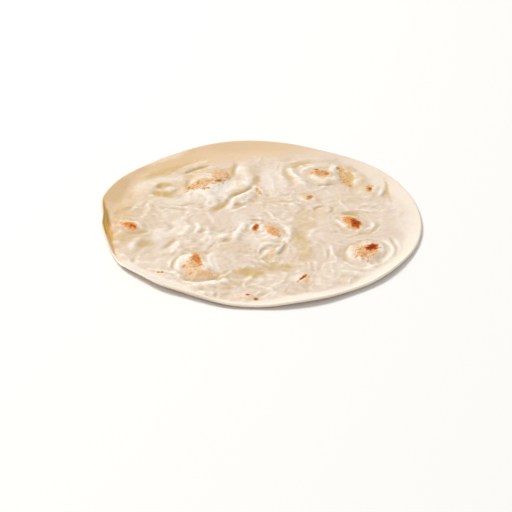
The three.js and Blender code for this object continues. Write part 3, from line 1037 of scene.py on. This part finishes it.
def dough_material(colours):
    """Floury cream dough, with painted light on its rises and blisters, partly flour, and painted shade
    in its hollows. It has golden painted shade and glow in its creases, on stretches of the lip and where
    the lip stands up steeply, and painted light on the lip at the front and the right, with painted shade
    at the back and the left.
    It is browned in spots that go from peach through orange to dark brown and are broken into flecks
    where they are rough."""
    material = bpy.data.materials.new("baked_dough")
    material.use_nodes = True
    tree = material.node_tree
    tree.nodes.clear()
    wire = Wire(tree)
    place = wire.node("ShaderNodeTexCoord", output="Object")
    toast, broken, ruddy = map(wire.attribute, ("toast", "broken", "ruddy"))
    near, wide, puff = map(wire.attribute, ("near", "wide", "puff"))
    golden, floury = map(wire.attribute, ("golden", "floury"))
    pale_lip, tan_lip, flap = map(wire.attribute, ("pale_lip", "tan_lip", "flap"))

    mottle = wire.noise(place, MOTTLE_LENGTH * MM, NOISE_DETAIL) - NOISE_MIDDLE
    grain = wire.noise(place, GRAIN_LENGTH * MM, NOISE_DETAIL) - NOISE_MIDDLE
    flecks = wire.noise(place, FLECK_LENGTH * MM, NOISE_DETAIL)
    fine_grain = wire.noise(place, FINE_GRAIN_LENGTH * MM, FINE_DETAIL)

    # Painted light on rises and blisters and painted shade in hollows, with the dough's own mottle and
    # grain
    rise = PALE_START + near * NEAR_LIGHT_AND_SHADE + wide * WIDE_LIGHT_AND_SHADE
    rise = rise + mottle * PALE_MOTTLE + grain * PALE_GRAIN + puff * PUFF_LIGHT
    dough = rise.eased(*SHADE_TO_BODY).mixed(colours.hollow, colours.body)
    dough = rise.eased(*BODY_TO_FLOUR_AND_HIGHLIGHT).mixed(dough, colours.flour)
    # Painted light on the lip at the front and the right, painted shade at the back and the left
    dough = (pale_lip * LIP_LIGHT_SHARE).mixed(dough, colours.pale_lip)
    dough = (tan_lip * LIP_SHADE_SHARE).mixed(dough, colours.tan_lip)
    # Flour, partly painted highlight
    dough = floury.mixed(dough, colours.flour)
    # Golden painted shade in creases and hollows, and painted glow of thin dough
    dough = (golden + mottle * golden * SHADE_GLOW_MOTTLE).mixed(dough, colours.golden)
    # Painted golden glow and shade on the steep lip
    dough = flap.mixed(dough, colours.lip_glow)

    break_up = toast.eased(*BREAK_UP)
    specks = flecks.eased(*FLECK_EDGES) - FLECK_GAP
    baked = toast + specks * broken * FLECK_STRENGTH * break_up + grain * CRUST_GRAIN * break_up
    tan = (colours.peach, colours.tan_light, colours.tan_middle, colours.tan_deep, colours.tan_dark)
    red = (colours.peach, colours.red_light, colours.red_middle, colours.red_deep, colours.red_dark)
    tan_crust = baked.ramp(list(zip(CRUST_STOPS, tan)))
    red_crust = baked.ramp(list(zip(CRUST_STOPS, red)))
    colour = baked.eased(*CRUST_COVERS).mixed(dough, ruddy.mixed(tan_crust, red_crust))

    bump = wire.node("ShaderNodeBump", {}, {
        "Strength": BUMP_STRENGTH,
        "Distance": BUMP_HEIGHT * MM,
        "Height": grain + fine_grain * FINE_GRAIN_SHARE,
    })
    shader = wire.node("ShaderNodeBsdfPrincipled", {}, {
        "Base Color": colour,
        "Roughness": DOUGH_ROUGHNESS - baked.eased(*CRUST_SMOOTHER) * CRUST_GLOSS,
        "Normal": bump,
        "Specular IOR Level": SHINE,
        "Subsurface Weight": GLOW,
        "Subsurface Radius": GLOW_COLOURS,
        "Subsurface Scale": GLOW_DEPTH * MM,
    })
    wire.node("ShaderNodeOutputMaterial", {}, {"Surface": shader})
    return material


def stage_material(colour):
    """A plain matt floor."""
    material = bpy.data.materials.new("pale_floor")
    material.use_nodes = True
    shader = material.node_tree.nodes["Principled BSDF"]
    shader.inputs["Base Color"].default_value = colour
    shader.inputs["Roughness"].default_value = FLOOR_ROUGHNESS
    return material


def aim(thing, target):
    """Turns a light or camera to look at a point."""
    thing.rotation_euler = (Vector(target) - thing.location).to_track_quat("-Z", "Y").to_euler()


def add_light(name, place, size, power, colour):
    """A square soft light that looks at the tortilla's middle."""
    lamp = bpy.data.lights.new(name, "AREA")
    lamp.size = size
    lamp.energy = power
    lamp.color = colour
    light = bpy.data.objects.new(name, lamp)
    light.location = place
    aim(light, (0, 0, 0))
    bpy.context.scene.collection.objects.link(light)


def add_camera():
    """The photograph's camera: its height and distance, turned so that the tortilla's middle falls on
    its pixel, with a lens that gives the pictured size."""
    focal_pixels = PIXELS_PER_MM * VIEW_DISTANCE / MM
    right_of_centre = PHOTO_MIDDLE[0] - PHOTO_SIDE / 2
    below_centre = PHOTO_MIDDLE[1] - PHOTO_SIDE / 2
    elevation = math.radians(VIEW_ELEVATION)
    lens = bpy.data.cameras.new("camera")
    lens.sensor_width = SENSOR_MM
    lens.lens = focal_pixels * SENSOR_MM / PHOTO_SIDE
    camera = bpy.data.objects.new("camera", lens)
    camera.location = (0, -VIEW_DISTANCE * math.cos(elevation), VIEW_DISTANCE * math.sin(elevation))
    pitch = elevation - math.atan2(below_centre, focal_pixels)
    yaw = math.atan2(right_of_centre, focal_pixels)
    camera.rotation_euler = (math.pi / 2 - pitch, 0, yaw)
    bpy.context.scene.collection.objects.link(camera)
    bpy.context.scene.camera = camera


def shade(name, description, red, green, blue):
    """A colour property with its default."""
    return FloatVectorProperty(
        name=name, description=description, default=(red, green, blue, 1), size=4, min=0, max=1,
        subtype="COLOR")


class TortillaSizes(bpy.types.PropertyGroup):
    """The sizes of the sheet of dough and of its lip."""

    sheet_radius: FloatProperty(
        name="Sheet radius", description="From the middle to the edge, along the dough",
        default=0.1243, min=0.05, unit="LENGTH")
    sheet_thickness: FloatProperty(
        name="Thickness", description="Thickness of the dough between blisters",
        default=0.0021, min=0.0005, unit="LENGTH")
    edge_thickness: FloatProperty(
        name="Edge thickness", description="Thickness at the very edge",
        default=0.0020, min=0.0005, unit="LENGTH")
    edge_thinning: FloatProperty(
        name="Edge thinning", description="Width of the band over which the dough thins",
        default=0.012, min=0.001, unit="LENGTH")
    edge_bulge: FloatProperty(
        name="Edge bulge", description="How far the round edge stands out, as a share of its thickness",
        default=0.5, min=0, max=1, subtype="FACTOR")
    edge_rings: IntProperty(
        name="Edge rings", description="Rings of points that round the edge", default=3, min=1)
    rings: IntProperty(
        name="Rings", description="Square rings of points from the middle to the edge, an even number",
        default=136, min=20)


class TortillaColours(bpy.types.PropertyGroup):
    """The colours of the dough and of its browning."""

    # The palest dough: flour, and painted highlight on the rises and the pale patches
    flour: shade("Flour", "Palest dough, on the rises and the front of the lip", 0.94, 0.855, 0.755)
    body: shade("Body", "The dough between rises and hollows", 0.775, 0.645, 0.53)
    # The hollows' tan is painted shade
    hollow: shade("Hollows", "Tan dough in the hollows", 0.65, 0.515, 0.36)
    # Golden painted shade and glow
    golden: shade("Golden", "Thin dough that the light goes into", 0.60, 0.41, 0.14)
    # Painted light on the lip
    pale_lip: shade("Pale lip", "Smooth dough of the lip at the front and the right", 0.95, 0.855, 0.74)
    # Painted shade on the lip
    tan_lip: shade("Tan lip", "Smooth dough of the lip at the back and the left", 0.78, 0.565, 0.345)
    # Painted glow and shade on the steep lip
    lip_glow: shade("Golden lip", "Where the lip stands up steeply", 0.98, 0.59, 0.145)
    peach: shade("Peach", "The lightest browning", 0.82, 0.56, 0.36)
    tan_light: shade("Light tan", "Tan browning, light", 0.69, 0.43, 0.215)
    tan_middle: shade("Middle tan", "Tan browning, middle", 0.59, 0.32, 0.1)
    tan_deep: shade("Deep tan", "Tan browning, deep", 0.45, 0.225, 0.07)
    tan_dark: shade("Dark tan", "Tan browning, darkest", 0.30, 0.13, 0.035)
    red_light: shade("Light red", "Ruddy browning, light", 0.76, 0.37, 0.14)
    red_middle: shade("Middle red", "Ruddy browning, middle", 0.63, 0.195, 0.03)
    red_deep: shade("Deep red", "Ruddy browning, deep", 0.44, 0.085, 0.014)
    red_dark: shade("Dark red", "Ruddy browning, darkest", 0.29, 0.02, 0.001)


class TortillaStage(bpy.types.PropertyGroup):
    """The floor and the light."""

    floor_colour: shade("Floor", "Colour of the floor", 0.95, 0.95, 0.945)
    key_power: FloatProperty(
        name="Key light", description="Power of the main light, in watts", default=212.0, min=0)
    sky: FloatProperty(
        name="Sky", description="Strength of the even light from all round", default=0.52, min=0)


class TORTILLA_OT_bake(bpy.types.Operator):
    """Makes the tortilla's skin and its baked dough"""

    bl_idname = "tortilla.bake"
    bl_label = "Bake Tortilla"

    def execute(self, context):
        scene = context.scene
        piece = mesh_piece("tortilla_skin", *tortilla_surface(scene.tortilla_sizes))
        piece.data.materials.append(dough_material(scene.tortilla_colours))
        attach(piece, "root")
        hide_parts(NODE)
        return {"FINISHED"}


class TORTILLA_OT_stage(bpy.types.Operator):
    """Lays the floor and sets the lights and the camera"""

    bl_idname = "tortilla.stage"
    bl_label = "Set Stage"

    def execute(self, context):
        scene = context.scene
        stage = scene.tortilla_stage
        corners = FLOOR_HALF * np.array([(-1, -1, 0), (1, -1, 0), (1, 1, 0), (-1, 1, 0)])
        corners[:, 2] = -FLOOR_GAP * MM
        floor = mesh_piece("floor", corners, [np.array([[0, 1, 2, 3]])], {})
        floor.data.materials.append(stage_material(stage.floor_colour))
        world = bpy.data.worlds.new("even_light")
        world.use_nodes = True
        background = world.node_tree.nodes["Background"]
        background.inputs["Color"].default_value = SKY_COLOUR
        background.inputs["Strength"].default_value = stage.sky
        scene.world = world
        add_light("key", KEY_PLACE, KEY_SIZE, stage.key_power, KEY_COLOUR)
        add_camera()
        scene.view_settings.view_transform = "Standard"
        return {"FINISHED"}


class TORTILLA_PT_panel(bpy.types.Panel):
    """Sizes, colours and steps of the tortilla"""

    bl_idname = "TORTILLA_PT_panel"
    bl_label = "Flour Tortilla"
    bl_space_type = "VIEW_3D"
    bl_region_type = "UI"
    bl_category = "Tortilla"

    def draw(self, context):
        scene = context.scene
        for group in (scene.tortilla_sizes, scene.tortilla_colours, scene.tortilla_stage):
            box = self.layout.box()
            for key in group.__annotations__:
                box.prop(group, key)
        self.layout.operator(TORTILLA_OT_bake.bl_idname)
        self.layout.operator(TORTILLA_OT_stage.bl_idname)


CLASSES = (
    TortillaSizes,
    TortillaColours,
    TortillaStage,
    TORTILLA_OT_bake,
    TORTILLA_OT_stage,
    TORTILLA_PT_panel,
)


def register():
    for item in CLASSES:
        bpy.utils.register_class(item)
    bpy.types.Scene.tortilla_sizes = PointerProperty(type=TortillaSizes)
    bpy.types.Scene.tortilla_colours = PointerProperty(type=TortillaColours)
    bpy.types.Scene.tortilla_stage = PointerProperty(type=TortillaStage)


def unregister():
    del bpy.types.Scene.tortilla_stage
    del bpy.types.Scene.tortilla_colours
    del bpy.types.Scene.tortilla_sizes
    for item in reversed(CLASSES):
        bpy.utils.unregister_class(item)


def main():
    register()
    bpy.ops.tortilla.bake()
    bpy.ops.tortilla.stage()


if __name__ == "__main__":
    main()
